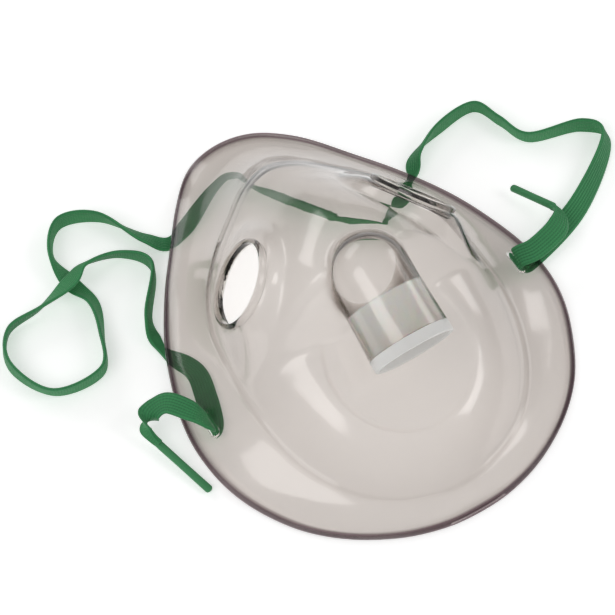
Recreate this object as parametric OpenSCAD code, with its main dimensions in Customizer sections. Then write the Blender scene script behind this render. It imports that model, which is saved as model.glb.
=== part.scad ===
/* [Mask shell] */
// Wall of the soft shell, measured square to the surface
wall_t = 1.3; // [1:0.1:2]
// Height of the dome's roof above the surface the mask lies on
roof_h = 52; // [45:1:58]
// How sharply the flanks turn over into the roof
flank_power = 1.4; // [1.2:0.1:3]
// Share of the way to the crown over which the flanks rise
flank_share = 0.7; // [0.6:0.05:1]
// Radius of the rolled bead round the rim
bead_r = 1.1; // [0.8:0.1:1.6]
// How far the rim arches clear of the surface along the cheeks
cheek_lift = 2.2; // [1.8:0.1:3]

/* [Chin cup] */
// Radius of the round recess under the port
recess_r = 22; // [18:1:25]
// Distance of the recess's centre from the mask's centre, towards the chin
recess_y = 30; // [25:1:35]
// Height of the recess's floor at its centre
recess_h = 26.5; // [24:0.5:30]
// Slope of the recess's floor, rise over run
recess_slope = 0.34; // [0.2:0.02:0.4]

/* [Vents] */
// Radius of each side vent
vent_r = 12.2; // [8:0.1:13]
// Radial width of the raised collar round a vent
collar_w = 1.4; // [1:0.1:2]
// Length of the collar along the vent's axis
collar_l = 2.8; // [2.6:0.2:5]
// Centre of the vent on the wearer's right
vent_at = [29.4, 9.4, 34];
// Outward direction of that vent
vent_dir = [0.724, 0.431, 0.539];

/* [Port] */
// Centre of the port's mouth
mouth_at = [0, -38.5, 38.5];
// How far the port leans down from level, degrees
port_lean = 19; // [10:1:30]
// Radius of the connector's bore, for a 22 mm male cone
port_bore_r = 11; // [11:0.5:15]
// Length of the swivelling connector sleeve
sleeve_l = 13.6; // [10:0.2:16]
// Wall of the connector sleeve
sleeve_t = 0.65; // [0.6:0.05:1.2]
// Radial running clearance of the sleeve in the neck
sleeve_gap = 0.05; // [0.02:0.01:0.1]
// Distance of the sleeve's outer end from the mouth
lip_l = 3.6; // [2.5:0.1:5]
// Distance from the mouth to the centre of the neck's round cap
neck_l = 26; // [24:1:32]

/* [Strap] */
// Width of the elastic strap
strap_w = 7; // [5:0.5:10]
// Thickness of the elastic strap
strap_t = 1.2; // [0.8:0.1:1.6]
// Radius of the stiffened tips
tip_r = 1.3; // [1:0.1:1.6]
// Distance of each strap slot from the middle plane
slot_x = 53.5; // [50:0.5:56]
// Distance of the slots from the mask's centre, towards the chin
slot_y = 12; // [8:1:16]
// Slot opening across and along the rim
slot_size = [2.6, 8.6];

/* [Hidden] */
$fn = 64;

// The rim and the dome's foot, nose to chin, one side: [x, y, height].
rim_pts = [
    [0, 74.5, 0], [13, 71, 0], [23.5, 60, 0], [32, 48.5, 0], [41.5, 35, 0], [50, 20, 0],
    [55.5, 6, 0], [59, -7, 0], [60, -19, 0], [58.3, -31, 0], [53.3, -43, 0], [46, -54, 0],
    [36, -63, 0], [23.5, -70, 0], [11.5, -73.6, 0], [0, -74.5, 0]
];
foot_pts = [
    [0, 44.5, 27], [9, 42, 26], [17.5, 36, 24], [27, 28.5, 21.5], [35, 19, 19.5], [40, 7, 17.5],
    [41.3, -5, 16], [41.7, -17, 14.5], [40.5, -28, 12.5], [37.8, -38.5, 10], [33, -48, 8],
    [26, -56, 6], [17.5, -61.5, 5], [9, -64.5, 4.6], [4, -65.3, 4.5], [0, -65.5, 4.5]
];
crown = [0, -12];       // plan point that the dome's rows close on
spans = 2;              // curve samples between two outline points
dome_rows = 18;
flange_rows = 7;
bead_steps = 6;
fall_from = -28;        // the nose bulb's roof falls away between these two places
fall_to = -8;
brow_h = 16;            // height that it falls away to
blend_h = 1.5;          // softness of the valley between nose bulb and chin cup

port_dir = [0, -cos(port_lean), -sin(port_lean)];
sleeve_r = port_bore_r + sleeve_t;
recess_bore_r = sleeve_r + sleeve_gap;
neck_mouth_r = recess_bore_r + 1;
neck_r = 12.2;
neck_bore_r = 10.6;
lip_bore_r = 11.3;
end_gap = 0.2;
inlet_h = roof_h - wall_t;      // the dome's roof and its sloping front wall, seen from inside
inlet_at = [0, -9, 47];
inlet_lean = 58;

// The strap's route from slot to slot: [x, y, z] of its middle line, then the way its width points.
// It lies on its edge except where it passes under the rim.
strap_route = [
    [[-53.5, -12, 5.7], [0, 1, 0]],
    [[-53.4, -12, 3], [0, 1, 0]],
    [[-51.5, -9.5, 1.4], [-0.3, 1, 0.1]],
    [[-48.8, -1, 1.6], [-0.9, 0.5, 0.2]],
    [[-47.5, 8, 1.7], [-1, -0.1, 0.2]],
    [[-52, 19.5, 1.2], [-1, -0.2, 0.1]],
    [[-50.8, 30, 3.9], [-0.2, 0.1, 1]],
    [[-40.8, 45.5, 3.7], [0, 0, 1]],
    [[-47, 54.5, 3.8], [-0.1, -0.3, 1]],
    [[-58.8, 56, 5.7], [0, -0.6, 0.9]],
    [[-66, 52, 6.8], [0.1, -0.9, 0.5]],
    [[-77, 50, 4.6], [0, -0.5, 1]],
    [[-89, 48.3, 3.7], [0.1, -0.2, 1]],
    [[-94, 37, 3.7], [0, 0, 1]],
    [[-87, 22.6, 3.7], [-0.2, -0.2, 1]],
    [[-71.5, 21.5, 3.7], [0, -0.1, 1]],
    [[-65.6, 32.5, 3.8], [-0.1, 0, 1]],
    [[-62.2, 44, 3.1], [-0.6, -0.2, 0.9]],
    [[-64.5, 54, 2.3], [-0.9, -0.2, 0.5]],
    [[-65, 66, 3.8], [-0.1, 0, 1]],
    [[-57.5, 74.5, 3.7], [0, 0, 1]],
    [[-46, 69.8, 3.7], [-0.1, -0.1, 1]],
    [[-37.5, 56, 3], [-0.4, -0.7, 0.6]],
    [[-29.8, 51.6, 1.1], [-0.2, -1, 0]],
    [[-10.5, 60.3, 3.2], [0.2, -0.8, 0.8]],
    [[-2.5, 60.5, 3.2], [-0.3, -0.8, 0.8]],
    [[3.5, 49, 3.7], [-0.3, -0.1, 1]],
    [[25, 23.3, 4], [-0.1, -0.2, 1]],
    [[43, 31.7, 1.2], [0.6, -0.8, 0.1]],
    [[49.5, 38.3, 3.2], [0.3, -0.5, 0.9]],
    [[61, 42.8, 3.7], [0, 0, 1]],
    [[74.5, 44, 3.7], [-0.1, -0.1, 1]],
    [[78.7, 35, 3.7], [-0.2, 0, 1]],
    [[83, 25, 3.7], [-0.2, -0.1, 1]],
    [[99.5, 20.2, 3.7], [0, 0, 1]],
    [[103, 11.5, 3.6], [-0.4, 0.2, 0.9]],
    [[82, -4, 2.9], [-0.3, 0.7, 0.5]],
    [[60, -11.3, 1.1], [0, 1, 0.1]],
    [[54.5, -12, 3], [0, 1, 0]],
    [[53.5, -12, 5.7], [0, 1, 0]]
];
tail_route_left = [
    [[-53.6, -12, 7], [0, 1, 0]],
    [[-54.6, -12, 9], [0.1, 1, 0]],
    [[-57.4, -8.3, 11.6], [0.3, 1, 0]],
    [[-61.8, -2.3, 11.6], [0.5, 0.85, 0]],
    [[-65.8, -0.9, 9.6], [0.6, 0.7, 0.3]],
    [[-68.8, -1.6, 7.6], [0.5, 0.4, 0.8]],
    [[-70.5, -3.4, 6], [0.4, 0, 1]],
    [[-70, -6.1, 4.7], [0.3, 0, 1]],
    [[-69, -9.1, 4.1], [0.2, 0, 1]]
];
tail_route_right = [
    [[53.6, -12, 7], [0, 1, 0]],
    [[54.8, -12.6, 8.7], [0, 1, 0.1]],
    [[58.7, -13.6, 10], [-0.2, 1, 0.2]],
    [[64.5, -12.5, 10.3], [-0.3, 1, 0.3]],
    [[69.5, -10.5, 9.9], [-0.4, 0.9, 0.4]],
    [[72.5, -7.5, 9.3], [-0.8, 0.3, 0.7]],
    [[73.4, -4.5, 8.5], [-0.6, 0, 1]],
    [[73, -2, 7.6], [-0.3, 0, 1]]
];
tip_ends_left = [[-68.7, -10.3, 3.6], [-63.3, -29, 1.4]];
tip_ends_right = [[72.8, -0.8, 7.2], [67.9, 12.2, 3.8]];

// ---- curves and surfaces ----

function smooth(a, b, v) = let (t = max(0, min(1, (v - a) / (b - a)))) t * t * (3 - 2 * t);

// One sample of a smooth curve through four points.
function curve_at(p0, p1, p2, p3, t) =
    0.5 * (2 * p1 + (p2 - p0) * t + (2 * p0 - 5 * p1 + 4 * p2 - p3) * t * t
        + (3 * p1 - p0 - 3 * p2 + p3) * t * t * t);

function flip(p) = [-p[0], p[1], p[2]];

// A half outline sampled along its curve, then closed by its mirror image.
function half_loop(pts, n) = let (
    last = len(pts) - 1,
    run = concat([flip(pts[1])], pts, [flip(pts[last - 1])])
) concat(
    [for (i = [1 : last], k = [0 : n - 1])
        curve_at(run[i - 1], run[i], run[i + 1], run[i + 2], k / n)],
    [pts[last]]
);
function loop(pts, n) = let (half = half_loop(pts, n)) concat(
    half,
    [for (i = [len(half) - 2 : -1 : 1]) flip(half[i])]
);

rim = loop(rim_pts, spans);
foot = loop(foot_pts, spans);
columns = len(rim);

// The rim's underside is arched clear of the surface along the cheeks.
function rim_lift(y) = cheek_lift * smooth(-44, -20, y) * smooth(72, 60, y);

// Height of the chin cup and of the nose bulb over a plan point p on the line from foot point f.
function cup_floor(y) = recess_h + recess_slope * (y + recess_y);
function cup_h(p, f) = let (
    reach = norm([f[0], f[1] + recess_y]) - recess_r,
    rise = max(0, min(1, (reach + recess_r - norm([p[0], p[1] + recess_y])) / reach))
) f[2] + (cup_floor(p[1]) - f[2]) * pow(sin(90 * rise), 0.8);
function roof_at(y) = brow_h + (roof_h - brow_h) * smooth(fall_from, fall_to, y);
function bulb_h(p, f, v) = let (rise = 1 - pow(max(0, 1 - v / flank_share), flank_power))
    f[2] * (1 - rise) + roof_at(p[1]) * rise;
function soft_max(a, b) = let (k = blend_h) (a + b + sqrt((a - b) * (a - b) + k * k) - k) / 2;

function dome_plan(f, v) = [f[0] + (crown[0] - f[0]) * v, f[1] + (crown[1] - f[1]) * v];

// The flank is flat round each vent, so that the vent's collar stands square on it.
function vent_plane(p) = vent_at[2]
    - (vent_dir[0] * (abs(p[0]) - vent_at[0]) + vent_dir[1] * (p[1] - vent_at[1])) / vent_dir[2];
function vent_share(p, v) = let (
    away = norm([abs(p[0]) - vent_at[0], p[1] - vent_at[1], vent_plane(p) - vent_at[2]])
) smooth(0, 0.12, v) * (1 - smooth(vent_r, vent_r + 13, away));
function dome_point(f, v) = let (
    p = dome_plan(f, v),
    h = soft_max(cup_h(p, f), bulb_h(p, f, v)),
    share = vent_share(p, v)
) [p[0], p[1], h + (vent_plane(p) - h) * share];

function flange_point(r, f, u) = let (low = rim_lift(r[1]) + 2 * bead_r) [
    r[0] + (f[0] - r[0]) * u,
    r[1] + (f[1] - r[1]) * u,
    low + (f[2] - low) * (0.25 * u + 0.75 * u * u)
];

// Unit normals of a grid closed round its columns, from its neighbours.
function unit(v) = v / max(norm(v), 1e-6);
function grid_normal(g, i, j) = let (
    rows = len(g),
    n = len(g[0]),
    down = g[max(i - 1, 0)][j],
    up = g[min(i + 1, rows - 1)][j],
    back = g[i][(j + n - 1) % n],
    ahead = g[i][(j + 1) % n]
) unit(cross(up - down, ahead - back));

dome_outer = [for (i = [0 : dome_rows - 1])
    [for (j = [0 : columns - 1]) dome_point(foot[j], i / dome_rows)]];
dome_inner = [for (i = [0 : dome_rows - 1])
    [for (j = [0 : columns - 1]) dome_outer[i][j] - wall_t / max(0.36, grid_normal(dome_outer, i, j)[2])
        * [0, 0, 1]]];
crown_h = dome_point(foot[0], 1)[2];

// Closed solid between two stacked grids that both close on the crown.
module cap_solid(upper, lower, top_z, low_z) {
    rows = len(upper);
    n = len(upper[0]);
    count = rows * n;
    points = concat(
        [for (row = upper, p = row) p],
        [for (row = lower, p = row) p],
        [[crown[0], crown[1], top_z], [crown[0], crown[1], low_z]]
    );
    quads = [for (i = [0 : rows - 2], j = [0 : n - 1]) let (
        a = i * n + j, b = i * n + (j + 1) % n, c = a + n, d = b + n) [a, b, c, d]];
    faces = concat(
        [for (q = quads) [q[0], q[2], q[1]]],
        [for (q = quads) [q[1], q[2], q[3]]],
        [for (q = quads) [q[0] + count, q[1] + count, q[2] + count]],
        [for (q = quads) [q[1] + count, q[3] + count, q[2] + count]],
        [for (j = [0 : n - 1]) [(rows - 1) * n + j, 2 * count, (rows - 1) * n + (j + 1) % n]],
        [for (j = [0 : n - 1]) [count + (rows - 1) * n + j, count + (rows - 1) * n + (j + 1) % n,
            2 * count + 1]],
        [for (j = [0 : n - 1]) [j, (j + 1) % n, count + j]],
        [for (j = [0 : n - 1]) [(j + 1) % n, count + (j + 1) % n, count + j]]
    );
    polyhedron(points, faces, convexity = 8);
}

// Closed ring whose cross-section, a list of rows, runs round the mask.
module ring_solid(rows) {
    m = len(rows);
    n = len(rows[0]);
    points = [for (row = rows, p = row) p];
    faces = [for (i = [0 : m - 1], j = [0 : n - 1], side = [0, 1]) let (
        a = i * n + j, b = i * n + (j + 1) % n, c = ((i + 1) % m) * n + j,
        d = ((i + 1) % m) * n + (j + 1) % n) side == 0 ? [a, c, b] : [b, c, d]];
    polyhedron(points, faces, convexity = 8);
}

// Flat strap swept along a route of [middle point, width direction].
function route_points(route, n) = let (
    last = len(route) - 1,
    run = concat([2 * route[0] - route[1]], route, [2 * route[last] - route[last - 1]])
) concat(
    [for (i = [1 : last], k = [0 : n - 1])
        curve_at(run[i - 1], run[i], run[i + 1], run[i + 2], k / n)],
    [route[last]]
);
module ribbon(route, n) {
    path = route_points(route, n);
    last = len(path) - 1;
    section = [[1, 0.5], [0.8, 1], [-0.8, 1], [-1, 0.5], [-1, -0.5], [-0.8, -1], [0.8, -1], [1, -0.5]];
    sides = len(section);
    points = [for (i = [0 : last]) let (
        along = unit(path[min(i + 1, last)][0] - path[max(i - 1, 0)][0]),
        raw = path[i][1],
        wide = unit(raw - (raw * along) * along),
        thick = cross(along, wide)
    ) for (s = section) path[i][0] + s[0] * strap_w / 2 * wide + s[1] * strap_t / 2 * thick];
    faces = concat(
        [[for (k = [sides - 1 : -1 : 0]) k]],
        [[for (k = [0 : sides - 1]) last * sides + k]],
        [for (i = [0 : last - 1], k = [0 : sides - 1], side = [0, 1]) let (
            a = i * sides + k, b = i * sides + (k + 1) % sides, c = a + sides, d = b + sides)
            side == 0 ? [a, b, c] : [b, d, c]]
    );
    polyhedron(points, faces, convexity = 10);
}

// ---- placing ----

// Turns children so that their +Z points along dir and puts them at a point.
module aim(at, dir) {
    turn = atan2(dir[1], dir[0]);
    lean = acos(dir[2] / norm(dir));
    translate(at) rotate([0, lean, turn]) children();
}

// Outside of the neck and its round cap; +Z runs out of the mouth, z = 0 is the mouth.
module neck_outer() {
    aim(mouth_at, port_dir) rotate_extrude() polygon(concat(
        [[0, 0], [neck_mouth_r, 0], [neck_mouth_r, -lip_l], [neck_r, -lip_l - sleeve_l - 1]],
        [for (a = [0 : 10 : 90]) [neck_r * cos(a), -neck_l - neck_r * sin(a)]]
    ));
}
module neck_bore() {
    shoulder = -lip_l - sleeve_l - 2 * end_gap;
    aim(mouth_at, port_dir) rotate_extrude() polygon(concat(
        [[0, 1], [lip_bore_r, 1], [lip_bore_r, -lip_l], [recess_bore_r, -lip_l],
            [recess_bore_r, shoulder], [neck_bore_r, shoulder]],
        [for (a = [0 : 10 : 90]) [neck_bore_r * cos(a), -neck_l - neck_bore_r * sin(a)]]
    ));
}
module vent_axis(side) {
    aim([side * vent_at[0], vent_at[1], vent_at[2]], [side * vent_dir[0], vent_dir[1], vent_dir[2]])
        children();
}

// ---- sub-parts ----

module mask_dome() color([0.84, 0.82, 0.80, 0.35]) difference() {
    cap_solid(dome_outer, dome_inner, crown_h, crown_h - wall_t);
    neck_outer();
    for (side = [-1, 1]) vent_axis(side)
        translate([0, 0, -12]) cylinder(r = vent_r + collar_w, h = 24);
}

module face_flange() color([0.84, 0.82, 0.80, 0.35]) difference() {
    upper = [for (i = [0 : flange_rows])
        [for (j = [0 : columns - 1]) flange_point(rim[j], foot[j], i / flange_rows)]];
    lower = [for (i = [flange_rows : -1 : 1])
        [for (j = [0 : columns - 1]) upper[i][j] - [0, 0, i == flange_rows
            ? dome_outer[0][j][2] - dome_inner[0][j][2]
            : wall_t / max(0.6, grid_normal(upper, i, j)[2])]]];
    bead = [for (k = [1 : bead_steps])
        [for (j = [0 : columns - 1]) let (
            out = unit([rim[j][0] - foot[j][0], rim[j][1] - foot[j][1], 0]),
            a = -90 + 180 * k / (bead_steps + 1)
        ) [rim[j][0], rim[j][1], rim_lift(rim[j][1]) + bead_r]
            + bead_r * (cos(a) * out + sin(a) * [0, 0, 1])]];
    floor_row = [[for (j = [0 : columns - 1]) [rim[j][0], rim[j][1], rim_lift(rim[j][1])]]];
    ring_solid(concat(upper, lower, floor_row, bead));
    for (side = [-1, 1]) translate([side * slot_x, -slot_y, 6])
        cube([slot_size[0], slot_size[1], 20], center = true);
}

module port_neck() color([0.80, 0.78, 0.77, 0.45]) difference() {
    neck_outer();
    neck_bore();
    // What would stand inside the dome is left out, so that the bore opens into the mask.
    intersection() {
        translate([-20, -25, inlet_h - 30]) cube([40, 35, 30]);
        translate(inlet_at) rotate([inlet_lean, 0, 0]) translate([-20, -20, -30]) cube([40, 50, 30]);
    }
}

module port_sleeve() color([0.90, 0.90, 0.88]) aim(mouth_at, port_dir)
    translate([0, 0, -lip_l - end_gap - sleeve_l]) difference() {
        cylinder(r = sleeve_r, h = sleeve_l);
        translate([0, 0, -1]) cylinder(r = port_bore_r, h = sleeve_l + 2);
    }

module vent_collar(side) color([0.84, 0.82, 0.80, 0.35]) vent_axis(side)
    translate([0, 0, -collar_l / 2]) difference() {
        cylinder(r = vent_r + collar_w, h = collar_l);
        translate([0, 0, -1]) cylinder(r = vent_r, h = collar_l + 2);
    }
module vent_collar_left() vent_collar(-1);
module vent_collar_right() vent_collar(1);

module head_strap() color([0.16, 0.47, 0.26]) ribbon(strap_route, 2);
module strap_tail_left() color([0.16, 0.47, 0.26]) ribbon(tail_route_left, 3);
module strap_tail_right() color([0.16, 0.47, 0.26]) ribbon(tail_route_right, 3);

module strap_tip(ends) {
    run = ends[1] - ends[0];
    aim(ends[0], run) {
        cylinder(r = tip_r, h = norm(run));
        translate([0, 0, norm(run)]) sphere(r = tip_r);
    }
}
module strap_tip_left() color([0.22, 0.55, 0.33]) strap_tip(tip_ends_left);
module strap_tip_right() color([0.22, 0.55, 0.33]) strap_tip(tip_ends_right);

mask_dome();
face_flange();
port_neck();
port_sleeve();
vent_collar_left();
vent_collar_right();
head_strap();
strap_tail_left();
strap_tail_right();
strap_tip_left();
strap_tip_right();
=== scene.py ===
"""Clear vinyl aerosol face mask with its green elastic head strap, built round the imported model.

Lengths in the modelling code are millimetres in the model's own axes (+Z up, +Y from chin to nose) and
become metres where a mesh is made. The outlines, heights and strap routes repeat the CAD source's.
"""

import math

import bmesh
import bpy
import numpy as np
from mathutils import Matrix, Vector

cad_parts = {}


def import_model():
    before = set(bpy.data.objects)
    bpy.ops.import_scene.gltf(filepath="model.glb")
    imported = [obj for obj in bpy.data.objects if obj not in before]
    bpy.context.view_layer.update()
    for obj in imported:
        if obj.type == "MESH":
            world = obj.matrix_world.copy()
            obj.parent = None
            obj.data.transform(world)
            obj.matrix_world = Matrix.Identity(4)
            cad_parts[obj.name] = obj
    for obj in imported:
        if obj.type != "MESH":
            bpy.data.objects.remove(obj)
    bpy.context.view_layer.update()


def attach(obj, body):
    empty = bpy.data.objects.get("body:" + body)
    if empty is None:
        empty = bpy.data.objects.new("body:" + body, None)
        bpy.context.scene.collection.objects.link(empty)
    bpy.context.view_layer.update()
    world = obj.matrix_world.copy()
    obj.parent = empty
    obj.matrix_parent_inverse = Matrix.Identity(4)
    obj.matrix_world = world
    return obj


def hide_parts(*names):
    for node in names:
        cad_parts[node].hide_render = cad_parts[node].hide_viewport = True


MM = 0.001

# Mask shell
WALL_T = 1.3
ROOF_H = 52.0
FLANK_POWER = 1.4
FLANK_SHARE = 0.7
BEAD_R = 1.1
CHEEK_LIFT = 2.2
FOOT_RIDGE = 0.55
FOOT_RIDGE_W = 0.8
FOOT_RIDGE_OUT = 1.2
# Width of the painted dark shade along the rim's line
RIM_SHADE_WIDTH = 0.75
CROWN = np.array([0.0, -12.0])
FALL_FROM, FALL_TO = -28.0, -8.0
BROW_H = 16.0
BLEND_H = 1.5

# Chin cup
RECESS_R = 22.0
RECESS_Y = 30.0
RECESS_H = 26.5
RECESS_SLOPE = 0.34
RECESS_STEP = 0.7
RECESS_EDGE = 0.9

# Vents
VENT_R = 12.2
VENT_PAD_W = 13.0
COLLAR_W = 1.4
COLLAR_L = 2.8
COLLAR_EDGE = 0.6
VENT_AT = np.array([29.4, 9.4, 34.0])
VENT_DIR = np.array([0.724, 0.431, 0.539])

# Port
MOUTH_AT = np.array([0.0, -38.5, 38.5])
PORT_LEAN = math.radians(19)
PORT_DIR = np.array([0.0, -math.cos(PORT_LEAN), -math.sin(PORT_LEAN)])
PORT_BORE_R = 11.0
SLEEVE_L = 13.6
SLEEVE_T = 0.65
SLEEVE_GAP = 0.05
LIP_L = 3.6
NECK_L = 26.0
NECK_R = 12.2
NECK_BORE_R = 10.6
LIP_BORE_R = 11.3
END_GAP = 0.2
MOUTH_EDGE = 0.5
SLEEVE_EDGE = 0.15
SLEEVE_R = PORT_BORE_R + SLEEVE_T
POCKET_R = SLEEVE_R + SLEEVE_GAP
NECK_MOUTH_R = POCKET_R + 1
FILLET = 3.0
ROOT_REACH = 36.0
ROOT_DEPTH = 8.0
ON_SURFACE = 0.12
SHORTEST_EDGE = 0.6

# Strap
STRAP_W = 7.0
STRAP_T = 1.2
TIP_R = 1.3
TIP_INSET = 2.2
SLOT_AT = (53.5, -12.0)
SLOT_SIZE = (2.6, 8.6)
SLOT_CUT = (-4, 20)
RIBS = 7
RIB_POINTS = 5
RIB_DEPTH = 0.16
PINCH_REACH = 5.0
RIM_PINCHES = [((-52, 19.5), 0.4), ((-29.8, 51.6), 0.6), ((43, 31.7), 0.3)]
TAIL_TAPER = {"over": 10.0, "width": 0.38, "thickness": 1.6}
TIP_POINTS = 48
TIP_END = 0.9

# How finely the surfaces are drawn
COLUMN_STEPS = 16
FLANGE_ROWS = 26
DOME_ROWS = 84
BEAD_ROWS = 10
LAST_SHARE = 0.9
STRAP_STEPS = 10
TAIL_STEPS = 12
CUT_MARGIN = 8.0
SKIM = 0.02
NUDGE = 0.05

RIM = [
    (0, 74.5, 0), (13, 71, 0), (23.5, 60, 0), (32, 48.5, 0), (41.5, 35, 0), (50, 20, 0),
    (55.5, 6, 0), (59, -7, 0), (60, -19, 0), (58.3, -31, 0), (53.3, -43, 0), (46, -54, 0),
    (36, -63, 0), (23.5, -70, 0), (11.5, -73.6, 0), (0, -74.5, 0),
]
FOOT = [
    (0, 44.5, 27), (9, 42, 26), (17.5, 36, 24), (27, 28.5, 21.5), (35, 19, 19.5), (40, 7, 17.5),
    (41.3, -5, 16), (41.7, -17, 14.5), (40.5, -28, 12.5), (37.8, -38.5, 10), (33, -48, 8),
    (26, -56, 6), (17.5, -61.5, 5), (9, -64.5, 4.6), (4, -65.3, 4.5), (0, -65.5, 4.5),
]

# Strap routes: middle line, then the way the strap's width points.
STRAP_ROUTE = [
    ((-53.5, -12, 5.7), (0, 1, 0)),
    ((-53.4, -12, 3), (0, 1, 0)),
    ((-51.5, -9.5, 1.4), (-0.3, 1, 0.1)),
    ((-48.8, -1, 1.6), (-0.9, 0.5, 0.2)),
    ((-47.5, 8, 1.7), (-1, -0.1, 0.2)),
    ((-52, 19.5, 1.2), (-1, -0.2, 0.1)),
    ((-50.8, 30, 3.9), (-0.2, 0.1, 1)),
    ((-40.8, 45.5, 3.7), (0, 0, 1)),
    ((-47, 54.5, 3.8), (-0.1, -0.3, 1)),
    ((-58.8, 56, 5.7), (0, -0.6, 0.9)),
    ((-66, 52, 6.8), (0.1, -0.9, 0.5)),
    ((-77, 50, 4.6), (0, -0.5, 1)),
    ((-89, 48.3, 3.7), (0.1, -0.2, 1)),
    ((-94, 37, 3.7), (0, 0, 1)),
    ((-87, 22.6, 3.7), (-0.2, -0.2, 1)),
    ((-71.5, 21.5, 3.7), (0, -0.1, 1)),
    ((-65.6, 32.5, 3.8), (-0.1, 0, 1)),
    ((-62.2, 44, 3.1), (-0.6, -0.2, 0.9)),
    ((-64.5, 54, 2.3), (-0.9, -0.2, 0.5)),
    ((-65, 66, 3.8), (-0.1, 0, 1)),
    ((-57.5, 74.5, 3.7), (0, 0, 1)),
    ((-46, 69.8, 3.7), (-0.1, -0.1, 1)),
    ((-37.5, 56, 3), (-0.4, -0.7, 0.6)),
    ((-29.8, 51.6, 1.1), (-0.2, -1, 0)),
    ((-10.5, 60.3, 3.2), (0.2, -0.8, 0.8)),
    ((-2.5, 60.5, 3.2), (-0.3, -0.8, 0.8)),
    ((3.5, 49, 3.7), (-0.3, -0.1, 1)),
    ((25, 23.3, 4), (-0.1, -0.2, 1)),
    ((43, 31.7, 1.2), (0.6, -0.8, 0.1)),
    ((49.5, 38.3, 3.2), (0.3, -0.5, 0.9)),
    ((61, 42.8, 3.7), (0, 0, 1)),
    ((74.5, 44, 3.7), (-0.1, -0.1, 1)),
    ((78.7, 35, 3.7), (-0.2, 0, 1)),
    ((83, 25, 3.7), (-0.2, -0.1, 1)),
    ((99.5, 20.2, 3.7), (0, 0, 1)),
    ((103, 11.5, 3.6), (-0.4, 0.2, 0.9)),
    ((82, -4, 2.9), (-0.3, 0.7, 0.5)),
    ((60, -11.3, 1.1), (0, 1, 0.1)),
    ((54.5, -12, 3), (0, 1, 0)),
    ((53.5, -12, 5.7), (0, 1, 0)),
]
TAIL_LEFT = [
    ((-53.6, -12, 7), (0, 1, 0)),
    ((-54.6, -12, 9), (0.1, 1, 0)),
    ((-57.4, -8.3, 11.6), (0.3, 1, 0)),
    ((-61.8, -2.3, 11.6), (0.5, 0.85, 0)),
    ((-65.8, -0.9, 9.6), (0.6, 0.7, 0.3)),
    ((-68.8, -1.6, 7.6), (0.5, 0.4, 0.8)),
    ((-70.5, -3.4, 6), (0.4, 0, 1)),
    ((-70, -6.1, 4.7), (0.3, 0, 1)),
    ((-69, -9.1, 4.1), (0.2, 0, 1)),
]
TAIL_RIGHT = [
    ((53.6, -12, 7), (0, 1, 0)),
    ((54.8, -12.6, 8.7), (0, 1, 0.1)),
    ((58.7, -13.6, 10), (-0.2, 1, 0.2)),
    ((64.5, -12.5, 10.3), (-0.3, 1, 0.3)),
    ((69.5, -10.5, 9.9), (-0.4, 0.9, 0.4)),
    ((72.5, -7.5, 9.3), (-0.8, 0.3, 0.7)),
    ((73.4, -4.5, 8.5), (-0.6, 0, 1)),
    ((73, -2, 7.6), (-0.3, 0, 1)),
]
TIP_LEFT = ((-68.7, -10.3, 3.6), (-63.3, -29, 1.4))
TIP_RIGHT = ((72.8, -0.8, 7.2), (67.9, 12.2, 3.8))


# ---- curves and small helpers ----

def smooth(low, high, value):
    """0 up to low and 1 from high on, with a smooth step between."""
    share = np.clip((value - low) / (high - low), 0, 1)
    return share * share * (3 - 2 * share)


def unit(vectors):
    """Vectors scaled to length 1."""
    length = np.linalg.norm(vectors, axis=-1, keepdims=True)
    return vectors / np.maximum(length, 1e-9)


def catmull(run, steps):
    """Samples of a smooth curve from the second to the last but one of a run of points."""
    t = (np.arange(steps) / steps)[:, None]
    parts = [
        0.5 * (2 * b + (c - a) * t + (2 * a - 5 * b + 4 * c - d) * t**2 + (3 * b - a - 3 * c + d) * t**3)
        for a, b, c, d in zip(run, run[1:], run[2:], run[3:])
    ]
    return np.vstack([*parts, run[-2:-1]])


def open_curve(points, steps):
    """Samples of a smooth curve through all the points."""
    points = np.asarray(points, float)
    return catmull(np.vstack([2 * points[0] - points[1], points, 2 * points[-1] - points[-2]]), steps)


def outline(points, steps):
    """Closed outline from its half, nose to chin, and the mirror image of that half."""
    points = np.asarray(points, float)
    mirror = np.array([-1, 1, 1])
    half = catmull(np.vstack([points[1] * mirror, points, points[-2] * mirror]), steps)
    return np.vstack([half, half[-2:0:-1] * mirror])


def new_object(name, vertices, faces, uv=None):
    """Mesh object from vertices in millimetres; uv gives one coordinate pair per face corner."""
    mesh = bpy.data.meshes.new(name)
    mesh.from_pydata((np.asarray(vertices) * MM).tolist(), [], faces)
    if uv is not None:
        layer = mesh.uv_layers.new(name="along")
        layer.data.foreach_set("uv", np.asarray(uv, np.float32).ravel())
    mesh.validate()
    made = bpy.data.objects.new(name, mesh)
    bpy.context.scene.collection.objects.link(made)
    return made


def outward(obj):
    """Turns every face's normal outwards."""
    work = bmesh.new()
    work.from_mesh(obj.data)
    bmesh.ops.recalc_face_normals(work, faces=work.faces)
    work.to_mesh(obj.data)
    work.free()
    return obj


def shade(obj, sharp_angle):
    """Smooth shading that breaks at edges sharper than an angle in degrees."""
    obj.data.shade_smooth()
    obj.data.set_sharp_from_angle(angle=math.radians(sharp_angle))
    return obj


def ring_faces(rows, columns, close_rows):
    """Quads of a grid closed round its columns, and round its rows too if asked."""
    last = rows if close_rows else rows - 1
    faces = []
    for i in range(last):
        for j in range(columns):
            a, b = i * columns + j, i * columns + (j + 1) % columns
            k = (i + 1) % rows * columns
            faces.append((a, b, k + (j + 1) % columns, k + j))
    return faces


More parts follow.
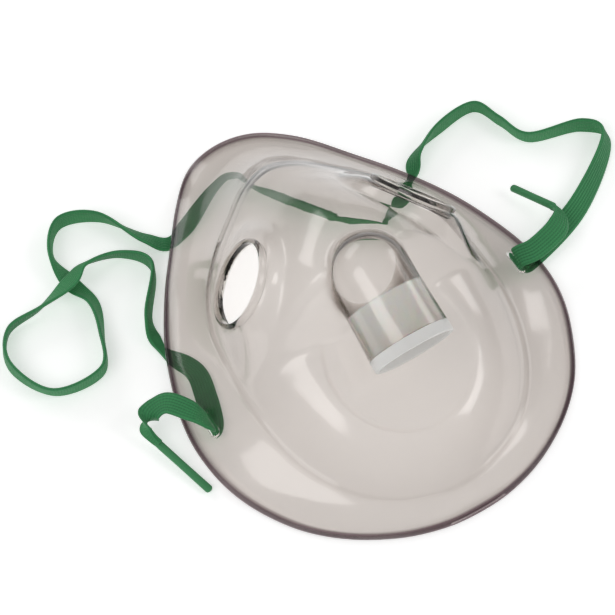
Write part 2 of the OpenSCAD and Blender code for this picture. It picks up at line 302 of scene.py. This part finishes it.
def revolve(name, profile, place, segments=128):
    """Solid of revolution of [radius, height] pairs; an end of radius 0 closes on a pole."""
    angles = np.arange(segments) * 2 * math.pi / segments
    around = np.stack([np.cos(angles), np.sin(angles)], 1)
    poles = [profile[0][0] == 0, profile[-1][0] == 0]
    rings = [p for p in profile if p[0] > 0]
    vertices = [(r * c, r * s, z) for r, z in rings for c, s in around]
    faces = ring_faces(len(rings), segments, close_rows=not any(poles))
    for end, ring in ((0, 0), (-1, len(rings) - 1)):
        if poles[end]:
            pole = len(vertices)
            vertices.append((0, 0, profile[end][1]))
            first = ring * segments
            faces += [(first + j, first + (j + 1) % segments, pole) for j in range(segments)]
    made = new_object(name, vertices, faces)
    made.data.transform(place)
    return outward(made)


def aim(at, direction):
    """Matrix that puts the origin at a point in millimetres and turns +Z along a direction."""
    turn = Vector(direction).to_track_quat("Z", "Y").to_matrix().to_4x4()
    return Matrix.Translation(Vector(at) * MM) @ turn


def apply_boolean(target, tool, operation):
    """Joins or cuts target with tool, which is then removed."""
    modifier = target.modifiers.new(operation, "BOOLEAN")
    modifier.solver = "MANIFOLD"
    modifier.operation = operation
    modifier.object = tool
    graph = bpy.context.evaluated_depsgraph_get()
    result = bpy.data.meshes.new_from_object(target.evaluated_get(graph))
    target.modifiers.clear()
    target.data = result
    bpy.data.objects.remove(tool)


# ---- the shell's surface ----

def rim_lift(y):
    """Height of the rim's underside, arched clear of the surface along the cheeks."""
    return CHEEK_LIFT * smooth(-44, -20, y) * smooth(72, 60, y)


def vent_plane(x, y):
    """Height of the flat pad round a vent, carried on over the whole plan."""
    return VENT_AT[2] - (
        VENT_DIR[0] * (abs(x) - VENT_AT[0]) + VENT_DIR[1] * (y - VENT_AT[1])
    ) / VENT_DIR[2]


def dome_height(x, y, foot, v):
    """Height of the dome over plan points on the way v from the foot's points to the crown."""
    reach = np.hypot(foot[..., 0], foot[..., 1] + RECESS_Y) - RECESS_R
    from_recess = np.hypot(x, y + RECESS_Y)
    rise = np.clip((reach + RECESS_R - from_recess) / reach, 0, 1)
    cup_floor = RECESS_H + RECESS_SLOPE * (y + RECESS_Y)
    cup = foot[..., 2] + (cup_floor - foot[..., 2]) * np.sin(rise * math.pi / 2) ** 0.8
    cup = cup - RECESS_STEP * smooth(RECESS_R + RECESS_EDGE, RECESS_R - RECESS_EDGE, from_recess)

    rise = 1 - np.maximum(0, 1 - v / FLANK_SHARE) ** FLANK_POWER
    ceiling = BROW_H + (ROOF_H - BROW_H) * smooth(FALL_FROM, FALL_TO, y)
    bulb = foot[..., 2] * (1 - rise) + ceiling * rise
    height = (cup + bulb + np.sqrt((cup - bulb) ** 2 + BLEND_H**2) - BLEND_H) / 2

    pad = vent_plane(x, y)
    away = np.sqrt((abs(x) - VENT_AT[0]) ** 2 + (y - VENT_AT[1]) ** 2 + (pad - VENT_AT[2]) ** 2)
    share = smooth(0, 0.12, v) * (1 - smooth(VENT_R, VENT_R + VENT_PAD_W, away))
    return height + (pad - height) * share


rim_line = outline(RIM, COLUMN_STEPS)
foot_line = outline(FOOT, COLUMN_STEPS)


def roof(x, y):
    """Height of the dome's outer surface over any plan points inside the foot's outline."""
    from_crown = foot_line[:, :2] - CROWN
    angle = np.arctan2(from_crown[:, 1], from_crown[:, 0])
    order = np.argsort(angle)
    angle, ordered = angle[order], foot_line[order]
    at = np.arctan2(y - CROWN[1], x - CROWN[0])
    foot = np.stack([np.interp(at, angle, ordered[:, k], period=2 * math.pi) for k in range(3)], -1)
    full = np.hypot(foot[..., 0] - CROWN[0], foot[..., 1] - CROWN[1])
    v = np.clip(1 - np.hypot(x - CROWN[0], y - CROWN[1]) / full, 0, 1)
    return dome_height(x, y, foot, v)


def outer_grid():
    """Rows of the shell's outer surface, from the top of the rim's bead up to near the crown."""
    rows = []
    low = (rim_lift(rim_line[:, 1]) + 2 * BEAD_R)[:, None]
    for u in np.arange(FLANGE_ROWS) / FLANGE_ROWS:
        plan = rim_line[:, :2] + (foot_line[:, :2] - rim_line[:, :2]) * u
        z = low + (foot_line[:, 2:] - low) * (0.25 * u + 0.75 * u * u)
        rows.append(np.hstack([plan, z]))
    for v in np.linspace(0, LAST_SHARE, DOME_ROWS):
        plan = foot_line[:, :2] + (CROWN - foot_line[:, :2]) * v
        z = dome_height(plan[:, 0], plan[:, 1], foot_line, v)
        rows.append(np.column_stack([plan, z]))
    return np.array(rows)


def grid_normals(grid):
    """Upward unit normals of a grid that is closed round its columns."""
    up = np.gradient(grid, axis=0)
    along = np.roll(grid, -1, axis=1) - np.roll(grid, 1, axis=1)
    normals = unit(np.cross(up, along))
    return normals * np.sign(normals[..., 2:].mean())


def soften_foot(grid, passes):
    """Rounds the crease where the dome stands on the flange."""
    index = np.arange(len(grid))
    weight = np.exp(-((index - FLANGE_ROWS) / 2.5) ** 2)[:, None, None]
    for _ in range(passes):
        mean = grid.copy()
        mean[1:-1] = (grid[:-2] + 2 * grid[1:-1] + grid[2:]) / 4
        grid = grid + (mean - grid) * weight
    return grid


def foot_ridge(grid, normals):
    """Raises the fine welt that runs round the dome's foot."""
    steps = np.linalg.norm(np.diff(grid, axis=0), axis=2)
    run = np.vstack([np.zeros(grid.shape[1]), np.cumsum(steps, axis=0)])
    from_foot = run - run[FLANGE_ROWS]
    ridge = FOOT_RIDGE * np.exp(-(((from_foot + FOOT_RIDGE_OUT) / FOOT_RIDGE_W) ** 2))
    return grid + ridge[..., None] * normals


def inner_grid(outer, normals, depth):
    """The outer surface set back into the wall by a depth."""
    for _ in range(3):
        normals = unit(
            normals
            + np.roll(normals, 1, axis=1)
            + np.roll(normals, -1, axis=1)
            + np.vstack([normals[1:], normals[-1:]])
            + np.vstack([normals[:1], normals[:-1]])
        )
    return outer - normals * depth


def shell_solid(outer, inner):
    """Closed wall between the two surfaces, with the rolled bead round its rim."""
    base = rim_lift(rim_line[:, 1])
    for i in range(FLANGE_ROWS):
        from_rim = np.linalg.norm(inner[i, :, :2] - rim_line[:, :2], axis=1)
        share = smooth(0.5, 3.4, from_rim) if i else np.zeros(len(base))
        under = np.column_stack([outer[i, :, :2], base])
        inner[i] = under + (inner[i] - under) * share[:, None]
    out = unit((rim_line - foot_line) * np.array([1, 1, 0]))
    centre = np.column_stack([rim_line[:, :2], base + BEAD_R])
    bead = [
        centre + BEAD_R * (math.cos(a) * out + math.sin(a) * np.array([0, 0, 1]))
        for a in np.linspace(-math.pi / 2, math.pi / 2, BEAD_ROWS + 2)[1:-1]
    ]
    rows = np.concatenate([outer, inner[::-1], np.array(bead)])
    faces = ring_faces(len(rows), rows.shape[1], close_rows=True)
    return outward(new_object("mask_shell", rows.reshape(-1, 3), faces))


def core_solid(middle):
    """Everything under the middle of the dome's wall."""
    rows = middle[FLANGE_ROWS + 1:]
    floor = rows[:1] * np.array([1, 1, 0]) + np.array([0, 0, -5])
    rows = np.concatenate([floor, rows])
    count = rows.shape[1]
    faces = ring_faces(len(rows), count, close_rows=False)
    faces.append(tuple(range(count)))
    first = (len(rows) - 1) * count
    faces.append(tuple(range(first, first + count)))
    return outward(new_object("core", rows.reshape(-1, 3), faces))


def arc(centre, radius, start, stop, steps):
    """Points on an arc in a profile, in degrees."""
    return [
        (centre[0] + radius * math.cos(math.radians(a)), centre[1] + radius * math.sin(math.radians(a)))
        for a in np.linspace(start, stop, steps)
    ]


def neck_solid():
    """Outside of the port's neck with its round cap."""
    cap = arc((0, -NECK_L), NECK_R, 0, -90, 24)
    profile = [(0, 0), *arc((NECK_MOUTH_R - MOUTH_EDGE, -MOUTH_EDGE), MOUTH_EDGE, 90, 0, 6)]
    profile += [(NECK_MOUTH_R, -LIP_L), (NECK_R, -LIP_L - SLEEVE_L - 1)]
    return revolve("neck", profile + cap[:-1] + [(0, -NECK_L - NECK_R)], aim(MOUTH_AT, PORT_DIR))


def bore_solid():
    """Space inside the neck, with the pocket that holds the sleeve."""
    shoulder = -LIP_L - SLEEVE_L - 2 * END_GAP
    cap = arc((0, -NECK_L), NECK_BORE_R, 0, -90, 24)
    flare = LIP_BORE_R + MOUTH_EDGE
    profile = [(0, 1), (flare, 1), (flare, SKIM)]
    profile += arc((flare, -MOUTH_EDGE), MOUTH_EDGE, 90, 180, 5)[1:]
    profile += [(LIP_BORE_R, -LIP_L), (POCKET_R, -LIP_L), (POCKET_R, shoulder), (NECK_BORE_R, shoulder)]
    return revolve("bore", profile + cap[:-1] + [(0, -NECK_L - NECK_BORE_R)], aim(MOUTH_AT, PORT_DIR))


def collar_solid(place):
    """Disc with a rounded edge that becomes a vent's raised collar once its hole is cut."""
    edge = COLLAR_EDGE
    round_r = VENT_R + COLLAR_W - edge
    half = COLLAR_L / 2
    profile = [(0, half), *arc((round_r, half - edge), edge, 90, 0, 6)]
    profile += [*arc((round_r, -half + edge), edge, 0, -90, 6), (0, -half)]
    return revolve("collar", profile, place)


def vent_solid(place):
    """A vent's hole, flared where it meets the collar's two faces."""
    edge = COLLAR_EDGE
    half = COLLAR_L / 2
    flare = VENT_R + edge
    profile = [(0, CUT_MARGIN), (flare, CUT_MARGIN), (flare, half + SKIM)]
    profile += arc((flare, half - edge), edge, 90, 180, 6)[1:]
    profile += arc((flare, -half + edge), edge, 180, 270, 6)[:-1]
    profile += [(flare, -half - SKIM), (flare, -CUT_MARGIN), (0, -CUT_MARGIN)]
    return revolve("vent", profile, place)


def slot_solid(side):
    """Round-ended cutter for one strap slot."""
    radius = SLOT_SIZE[0] / 2
    straight = SLOT_SIZE[1] / 2 - radius
    ends = arc((0, straight), radius, 0, 180, 12) + arc((0, -straight), radius, 180, 360, 12)
    count = len(ends)
    vertices = [(side * SLOT_AT[0] + x, SLOT_AT[1] + y, z) for z in SLOT_CUT for x, y in ends]
    faces = ring_faces(2, count, close_rows=False)
    faces += [tuple(range(count)), tuple(range(count, 2 * count))]
    return outward(new_object("slot", vertices, faces))


def capsule_distance(points):
    """Distance outside the neck's outer surface, near its root."""
    from_cap = points - (MOUTH_AT - NECK_L * PORT_DIR)
    along = np.maximum(from_cap @ PORT_DIR, 0)
    return np.linalg.norm(from_cap - along[:, None] * PORT_DIR, axis=1) - NECK_R


def dome_distance(points):
    """Distance outside the dome's outer surface, to first order."""
    x, y, z = points.T
    h = roof(x, y)
    dx = roof(x + NUDGE, y) - h
    dy = roof(x, y + NUDGE) - h
    return (z - h) / np.sqrt(1 + (dx**2 + dy**2) / NUDGE**2)


def round_root(obj):
    """Turns the crease where the neck leaves the dome into a fillet."""
    def joined(points):
        a, b = dome_distance(points), capsule_distance(points)
        near = np.maximum(FILLET - abs(a - b), 0) / FILLET
        return np.minimum(a, b) - near**2 * FILLET / 4

    work = bmesh.new()
    work.from_mesh(obj.data)
    bmesh.ops.remove_doubles(work, verts=work.verts, dist=0.01 * MM)

    def on_root(reach):
        points = np.array([v.co for v in work.verts]) / MM
        along = (points - MOUTH_AT) @ PORT_DIR
        from_crown = np.hypot(points[:, 0], points[:, 1] - CROWN[1])
        inside = (from_crown < ROOT_REACH) & (along < -ROOT_DEPTH)
        chosen = np.zeros(len(points), bool)
        found = np.flatnonzero(inside)
        a, b = dome_distance(points[found]), capsule_distance(points[found])
        nearest = np.minimum(a, b)
        surface = (nearest > -ON_SURFACE) & (nearest < ON_SURFACE)
        chosen[found] = surface & (np.maximum(a, b) < reach)
        return points, chosen

    for _ in range(2):
        work.verts.ensure_lookup_table()
        _, chosen = on_root(1.2 * FILLET)
        edges = [
            e for e in work.edges
            if chosen[e.verts[0].index] and chosen[e.verts[1].index]
            and e.calc_length() > SHORTEST_EDGE * MM
        ]
        bmesh.ops.subdivide_edges(work, edges=edges, cuts=1)
        bmesh.ops.triangulate(work, faces=work.faces)
        work.verts.index_update()
    points, chosen = on_root(FILLET)
    moved = points[chosen]
    for _ in range(4):
        value = joined(moved)
        slope = np.stack([
            (joined(moved + SKIM * axis) - joined(moved - SKIM * axis)) / (2 * SKIM) for axis in np.eye(3)
        ], 1)
        moved = moved - (value / np.maximum((slope**2).sum(1), 0.2))[:, None] * slope
    work.verts.ensure_lookup_table()
    for index, place in zip(np.flatnonzero(chosen), moved):
        work.verts[index].co = place * MM
    work.to_mesh(obj.data)
    work.free()


def frost_lip(obj, frosted):
    """Gives the lip at the port's mouth a frosted plastic."""
    slack = 0.1
    obj.data.materials.append(frosted)
    for face in obj.data.polygons:
        offset = np.array(face.center) / MM - MOUTH_AT
        along = offset @ PORT_DIR
        radius = np.linalg.norm(offset - along * PORT_DIR)
        if along > -LIP_L and radius < NECK_MOUTH_R + slack:
            face.material_index = 1


def paint_rim_shade(obj):
    """Stores on each vertex how near it is to the rim's line, where a dark painted shade stands in for the
    dark edge that light through the clear bead gives.
    """
    places = np.array([v.co[:2] for v in obj.data.vertices]) / MM
    share = obj.data.attributes.new("rim", "FLOAT", "POINT")
    away = np.array([np.min(np.hypot(*(rim_line[:, :2] - p).T)) for p in places])
    values = 1 - smooth(RIM_SHADE_WIDTH * 0.6, RIM_SHADE_WIDTH * 1.4, away)
    share.data.foreach_set("value", values.astype(np.float32))


def make_shell():
    """The whole clear moulding: flange, dome, neck and vent collars in one wall."""
    outer = soften_foot(outer_grid(), 4)
    normals = grid_normals(outer)
    inner = inner_grid(outer, normals, WALL_T)
    middle = inner_grid(outer, normals, WALL_T / 2)
    shell = shell_solid(foot_ridge(outer, normals), inner)
    neck = neck_solid()
    apply_boolean(neck, core_solid(middle), "DIFFERENCE")
    apply_boolean(shell, neck, "UNION")
    for side in (-1, 1):
        flip = np.array([side, 1, 1])
        place = aim(VENT_AT * flip, VENT_DIR * flip)
        apply_boolean(shell, collar_solid(place), "UNION")
        apply_boolean(shell, vent_solid(place), "DIFFERENCE")
        apply_boolean(shell, slot_solid(side), "DIFFERENCE")
    apply_boolean(shell, bore_solid(), "DIFFERENCE")
    round_root(shell)
    paint_rim_shade(shell)
    return shade(outward(shell), 42)


def make_sleeve():
    """Frosted connector sleeve that turns in the neck's pocket."""
    edge = SLEEVE_EDGE
    start = -LIP_L - END_GAP - SLEEVE_L
    end = -LIP_L - END_GAP
    profile = [
        (PORT_BORE_R, start + edge), (PORT_BORE_R, end - edge), (PORT_BORE_R + edge, end),
        (SLEEVE_R - edge, end), (SLEEVE_R, end - edge), (SLEEVE_R, start + edge),
        (SLEEVE_R - edge, start), (PORT_BORE_R + edge, start),
    ]
    return shade(revolve("connector_sleeve", profile, aim(MOUTH_AT, PORT_DIR), 160), 30)


# ---- strap ----

def strap_section():
    """Cross-section of the elastic: two ribbed faces and round edges."""
    count = RIBS * RIB_POINTS
    across = np.linspace(-1, 1, count + 1) * (1 - STRAP_T / STRAP_W * 0.8)
    rib = abs(np.sin(np.linspace(0, RIBS * math.pi, count + 1)))
    high = STRAP_T / 2 - RIB_DEPTH * (1 - rib)
    half = STRAP_W / 2
    face = np.stack([across * half, high], 1)
    side = abs(across[-1]) * half
    angles = np.radians((65, 35, 0, -35, -65))
    edge = np.stack([side + (half - side) * np.cos(angles), (STRAP_T / 2 - RIB_DEPTH) * np.sin(angles)], 1)
    return np.vstack([face, edge, face[::-1] * (1, -1), -edge])


def ribbon(name, route, steps, taper=None, pinches=()):
    """Ribbed strap swept along a route.

    taper gives the width's and thickness's share at its end; each pinch is a place where the strap is
    squeezed under the rim, with the share of its width that is left.
    """
    path = open_curve([(*p, *w) for p, w in route], steps)
    centre, wide = path[:, :3], path[:, 3:]
    along = unit(np.gradient(centre, axis=0))
    wide = unit(wide - (wide * along).sum(1, keepdims=True) * along)
    thick = np.cross(along, wide)
    run = np.concatenate([[0], np.cumsum(np.linalg.norm(np.diff(centre, axis=0), axis=1))])
    share_w = np.ones(len(run))
    share_t = np.ones(len(run))
    if taper:
        narrow = smooth(run[-1] - taper["over"], run[-1], run)
        share_w = 1 + (taper["width"] - 1) * narrow
        share_t = 1 + (taper["thickness"] - 1) * narrow
    for place, share in pinches:
        near = np.exp(-((np.linalg.norm(centre[:, :2] - place, axis=1) / PINCH_REACH) ** 2))
        share_w = share_w * (1 - (1 - share) * near)
        share_t = share_t * (1 + 0.3 * near)
    section = strap_section()
    count = len(section)
    rings = (
        centre[:, None]
        + (section[:, 0] * share_w[:, None])[..., None] * wide[:, None]
        + (section[:, 1] * share_t[:, None])[..., None] * thick[:, None]
    )
    faces = ring_faces(len(rings), count, close_rows=False)
    edge_run = np.concatenate([[0], np.cumsum(np.linalg.norm(np.diff(
        np.vstack([section, section[:1]]), axis=0), axis=1))])
    uv = []
    for i in range(len(rings) - 1):
        for j in range(count):
            a, b = edge_run[j], edge_run[j + 1]
            uv += [(a, run[i]), (b, run[i]), (b, run[i + 1]), (a, run[i + 1])]
    faces += [tuple(range(count)), tuple(range((len(rings) - 1) * count, len(rings) * count))]
    uv += [(edge_run[j], run[0]) for j in range(count)]
    uv += [(edge_run[j], run[-1]) for j in range(count)]
    made = new_object(name, rings.reshape(-1, 3), faces, np.array(uv) * MM)
    return shade(outward(made), 60), [tuple(p * MM) for p in centre]


def tip(name, ends):
    """Stiffened end of the strap: a slim, slightly flattened rod with grooves along it."""
    start, end = (np.array(p, float) for p in ends)
    start = start - TIP_INSET * unit(end - start)
    length = np.linalg.norm(end - start)
    angles = np.arange(TIP_POINTS) * 2 * math.pi / TIP_POINTS
    groove = 1 - 0.05 * (0.5 + 0.5 * np.cos(8 * angles))
    rows = [(0.0, 0.86), (0.5, 0.97), (1.5, 1.0), (length * 0.5, 0.96), (length - TIP_END, 1.0)]
    rows += [(length - TIP_END + TIP_END * math.sin(a), math.cos(a)) for a in np.radians((25, 50, 72))]
    vertices = [
        (0.97 * TIP_R * k * g * math.cos(a), 0.82 * TIP_R * k * g * math.sin(a), z)
        for z, k in rows for a, g in zip(angles, groove)
    ]
    faces = ring_faces(len(rows), TIP_POINTS, close_rows=False)
    last = (len(rows) - 1) * TIP_POINTS
    faces += [tuple(range(TIP_POINTS)), tuple(range(last, last + TIP_POINTS))]
    made = new_object(name, vertices, faces)
    made.data.transform(aim(start, end - start))
    return shade(outward(made), 50)


# ---- materials ----

# Sockets of the Mix node's colour inputs and result
MIX_A, MIX_B, MIXED = 6, 7, 2


class Nodes:
    """Short way to build a material's node tree."""

    def __init__(self, name):
        self.material = bpy.data.materials.new(name)
        self.material.use_nodes = True
        self.tree = self.material.node_tree
        self.tree.nodes.clear()

    def add(self, kind, inputs=None, **settings):
        """One node with its settings and its inputs, each a value or another node's output."""
        node = self.tree.nodes.new(kind)
        for key, value in settings.items():
            setattr(node, key, value)
        for key, value in (inputs or {}).items():
            if isinstance(value, bpy.types.NodeSocket):
                self.tree.links.new(value, node.inputs[key])
            else:
                node.inputs[key].default_value = value
        return node

    def math(self, operation, *values):
        """Output of a Math node."""
        return self.add("ShaderNodeMath", dict(enumerate(values)), operation=operation).outputs[0]

    def finish(self, surface, volume=None):
        """Links the shader to the material's output."""
        out = self.add("ShaderNodeOutputMaterial")
        self.tree.links.new(surface, out.inputs["Surface"])
        if volume is not None:
            self.tree.links.new(volume, out.inputs["Volume"])
        return self.material


def clear_vinyl():
    """Soft clear vinyl: glossy, a little wavy, with a warm grey tint that deepens through the wall and a
    painted dark shade along the rim.
    """
    n = Nodes("clear_vinyl")
    place = n.add("ShaderNodeTexCoord").outputs["Object"]
    waves = n.add("ShaderNodeTexNoise", {"Vector": place, "Scale": 55.0, "Detail": 1.0, "Roughness": 0.4})
    flow = n.add("ShaderNodeTexNoise", {"Vector": place, "Scale": 420.0, "Detail": 2.0, "Roughness": 0.5})
    height = n.math("ADD", waves.outputs["Fac"], n.math("MULTIPLY", flow.outputs["Fac"], 0.04))
    bump = n.add("ShaderNodeBump", {"Height": height, "Strength": 1.0, "Distance": 0.0006})
    scuff = n.add("ShaderNodeTexNoise", {"Vector": place, "Scale": 160.0, "Detail": 4.0, "Roughness": 0.6})
    rough = n.add("ShaderNodeMapRange", {
        "Value": scuff.outputs["Fac"], "From Min": 0.35, "From Max": 0.75, "To Min": 0.03, "To Max": 0.1,
    })
    # The rim attribute paints a dark shade into the colour along the rim's line, in place of the dark edge
    # of the clear bead.
    rim = n.add("ShaderNodeAttribute", attribute_name="rim").outputs["Fac"]
    tint = n.add("ShaderNodeMix", {
        "Factor": rim, MIX_A: (0.90, 0.885, 0.87, 1), MIX_B: (0.12, 0.07, 0.09, 1),
    }, data_type="RGBA")
    body = n.add("ShaderNodeBsdfPrincipled", {
        "Base Color": tint.outputs[MIXED],
        "Roughness": rough.outputs["Result"],
        "IOR": 1.12,
        "Transmission Weight": 1.0,
        "Coat Weight": 1.0,
        "Coat IOR": 1.5,
        "Coat Roughness": 0.13,
        "Normal": bump.outputs["Normal"],
        "Coat Normal": bump.outputs["Normal"],
    })
    clear = n.add("ShaderNodeBsdfTransparent", {"Color": (0.90, 0.895, 0.885, 1)})
    shadow = n.add("ShaderNodeLightPath").outputs["Is Shadow Ray"]
    mixed = n.add("ShaderNodeMixShader", {0: shadow, 1: body.outputs[0], 2: clear.outputs[0]})
    depth = n.add("ShaderNodeVolumeAbsorption", {"Color": (0.61, 0.565, 0.535, 1), "Density": 540.0})
    return n.finish(mixed.outputs[0], depth.outputs[0])


def frosted_vinyl():
    """Milky connector plastic."""
    n = Nodes("frosted_vinyl")
    place = n.add("ShaderNodeTexCoord").outputs["Object"]
    grain = n.add("ShaderNodeTexNoise", {"Vector": place, "Scale": 900.0, "Detail": 3.0})
    cloud = n.add("ShaderNodeTexNoise", {"Vector": place, "Scale": 120.0, "Detail": 2.0})
    bump = n.add("ShaderNodeBump", {"Height": grain.outputs["Fac"], "Strength": 0.5, "Distance": 0.0002})
    tint = n.add("ShaderNodeMix", {
        "Factor": cloud.outputs["Fac"], MIX_A: (0.94, 0.93, 0.92, 1), MIX_B: (0.98, 0.975, 0.965, 1),
    }, data_type="RGBA")
    body = n.add("ShaderNodeBsdfPrincipled", {
        "Base Color": tint.outputs[MIXED],
        "Roughness": 0.35,
        "IOR": 1.5,
        "Subsurface Weight": 0.4,
        "Subsurface Scale": 0.003,
        "Normal": bump.outputs["Normal"],
    })
    return n.finish(body.outputs[0])


def elastic(name, light, dark):
    """Ribbed green elastic: slanting stitches along every rib, with painted shade darkening the grooves
    between them.
    """
    n = Nodes(name)
    uv = n.add("ShaderNodeUVMap", uv_map="along").outputs["UV"]
    split = n.add("ShaderNodeSeparateXYZ", {"Vector": uv})
    across = n.math("MULTIPLY", split.outputs["X"], 1 / MM)
    along = n.math("MULTIPLY", split.outputs["Y"], 1 / MM)
    rib = n.math("ABSOLUTE", n.math("SUBTRACT", n.math("FRACT", across), 0.5))
    phase = n.math("ADD", n.math("MULTIPLY", along, 7.5), n.math("MULTIPLY", rib, 4.0))
    stitch = n.math("MULTIPLY_ADD", n.math("SINE", phase), 0.5, 0.5)
    place = n.add("ShaderNodeTexCoord").outputs["Object"]
    cloud = n.add("ShaderNodeTexNoise", {"Vector": place, "Scale": 70.0, "Detail": 3.0})
    fuzz = n.add("ShaderNodeTexNoise", {"Vector": place, "Scale": 2500.0, "Detail": 2.0})
    # Painted shade: the colour goes darker in the grooves between the ribs and lighter on their crests.
    painted_rib_shade = n.math("MULTIPLY_ADD", rib, -1.1, 0.55)
    share = n.math("ADD", n.math("MULTIPLY", stitch, 0.16), n.math("MULTIPLY", cloud.outputs["Fac"], 0.5))
    share = n.math("ADD", share, painted_rib_shade)
    tint = n.add("ShaderNodeMix", {
        "Factor": share, MIX_A: (*dark, 1), MIX_B: (*light, 1),
    }, data_type="RGBA")
    height = n.math("ADD", stitch, n.math("MULTIPLY", fuzz.outputs["Fac"], 0.6))
    bump = n.add("ShaderNodeBump", {"Height": height, "Strength": 0.5, "Distance": 0.00008})
    body = n.add("ShaderNodeBsdfPrincipled", {
        "Base Color": tint.outputs[MIXED],
        "Roughness": 0.7,
        "Sheen Weight": 0.25,
        "Sheen Roughness": 0.4,
        "Normal": bump.outputs["Normal"],
    })
    return n.finish(body.outputs[0])


def floor_material():
    """Plain white table."""
    n = Nodes("floor")
    body = n.add("ShaderNodeBsdfDiffuse", {"Color": (0.9, 0.9, 0.9, 1)})
    glow = n.add("ShaderNodeEmission", {"Color": (1, 1, 1, 1), "Strength": 0.42})
    both = n.add("ShaderNodeAddShader", {0: body.outputs[0], 1: glow.outputs[0]})
    return n.finish(both.outputs[0])


# ---- stage ----

AZIMUTH = math.radians(-31.7)
ELEVATION = math.radians(60)
DISTANCE = 0.78
LENS = 152.0
TABLE_HALF = 3e3
AIM_AT = Vector((0, -0.010, 0))
FRAME_CENTRE = Vector((-0.0087, 0.0071, 0.0058))


def make_camera():
    """Camera at the photograph's viewing angle, aimed so that the mask sits right of the middle."""
    back = Vector((
        math.sin(AZIMUTH) * math.cos(ELEVATION),
        -math.cos(AZIMUTH) * math.cos(ELEVATION),
        math.sin(ELEVATION),
    ))
    place = AIM_AT + DISTANCE * back
    back = (place - FRAME_CENTRE).normalized()
    right = Vector((math.cos(AZIMUTH), math.sin(AZIMUTH), 0))
    right = (right - right.dot(back) * back).normalized()
    up = back.cross(right)
    data = bpy.data.cameras.new("camera")
    data.lens = LENS
    data.clip_start = 0.01
    camera = bpy.data.objects.new("camera", data)
    bpy.context.scene.collection.objects.link(camera)
    turn = Matrix((right, up, back)).transposed().to_4x4()
    camera.matrix_world = Matrix.Translation(place) @ turn
    bpy.context.scene.camera = camera


def softbox(name, place, size, power):
    """Rectangular lamp aimed at the mask."""
    data = bpy.data.lights.new(name, "AREA")
    data.shape = "RECTANGLE"
    data.size, data.size_y = size
    data.energy = power
    lamp = bpy.data.objects.new(name, data)
    bpy.context.scene.collection.objects.link(lamp)
    lamp.location = place
    lamp.rotation_mode = "QUATERNION"
    lamp.rotation_quaternion = Vector(place).to_track_quat("Z", "Y")


def make_stage():
    """White table, soft lamps and an even white surrounding."""
    corners = [(x * TABLE_HALF, y * TABLE_HALF, 0) for x, y in ((-1, -1), (1, -1), (1, 1), (-1, 1))]
    table = new_object("floor", corners, [(0, 1, 2, 3)])
    table.data.materials.append(floor_material())
    world = bpy.data.worlds.new("surrounding")
    world.use_nodes = True
    world.node_tree.nodes["Background"].inputs["Color"].default_value = (1, 1, 1, 1)
    world.node_tree.nodes["Background"].inputs["Strength"].default_value = 0.36
    bpy.context.scene.world = world
    softbox("key", (-0.74, -0.26, 0.9), (0.8, 0.65), 3.6)
    softbox("front", (0.65, -0.6, 0.8), (0.45, 0.5), 2.0)
    softbox("back", (-0.25, 1.0, 0.6), (0.8, 0.4), 2.2)
    softbox("right", (1.1, 0.12, 0.5), (0.4, 0.4), 1.2)


def dress(piece, material, slot, body, *nodes):
    """Gives a piece its material, the body that it rides on and the nodes that it replaces; the slot
    argument is not used.
    """
    piece.data.materials.clear()
    piece.data.materials.append(material)
    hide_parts(*nodes)
    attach(piece, body)


def make_strap():
    """The elastic strap with its tails and tips."""
    green = elastic("elastic", (0.045, 0.31, 0.10), (0.012, 0.12, 0.045))
    pale = elastic("elastic_tip", (0.07, 0.32, 0.12), (0.03, 0.19, 0.07))
    strap, strap_path = ribbon("strap", STRAP_ROUTE, STRAP_STEPS, pinches=RIM_PINCHES)
    dress(strap, green, "elastic", "mask", "head_strap")
    ends_of_strap = []
    for side, route, ends in (("left", TAIL_LEFT, TIP_LEFT), ("right", TAIL_RIGHT, TIP_RIGHT)):
        tail, _ = ribbon(f"tail_{side}", route, TAIL_STEPS, taper=TAIL_TAPER)
        end = tip(f"tip_{side}", ends)
        dress(tail, green, "elastic", f"tail_{side}", f"strap_tail_{side}")
        dress(end, pale, "elastic_tip", f"tail_{side}", f"strap_tip_{side}")
        ends_of_strap += [tail, end]


def make_moulding():
    """The clear shell and the frosted sleeve in its port."""
    shell = make_shell()
    dress(
        shell, clear_vinyl(), "clear_vinyl", "mask",
        "mask_dome", "face_flange", "port_neck", "vent_collar_left", "vent_collar_right",
    )
    frost_lip(shell, bpy.data.materials["frosted_vinyl"])
    dress(make_sleeve(), frosted_vinyl(), "frosted_vinyl", "connector", "port_sleeve")


def main():
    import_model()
    bpy.context.scene.view_settings.view_transform = "Standard"
    make_camera()
    make_strap()
    make_moulding()
    make_stage()


main()
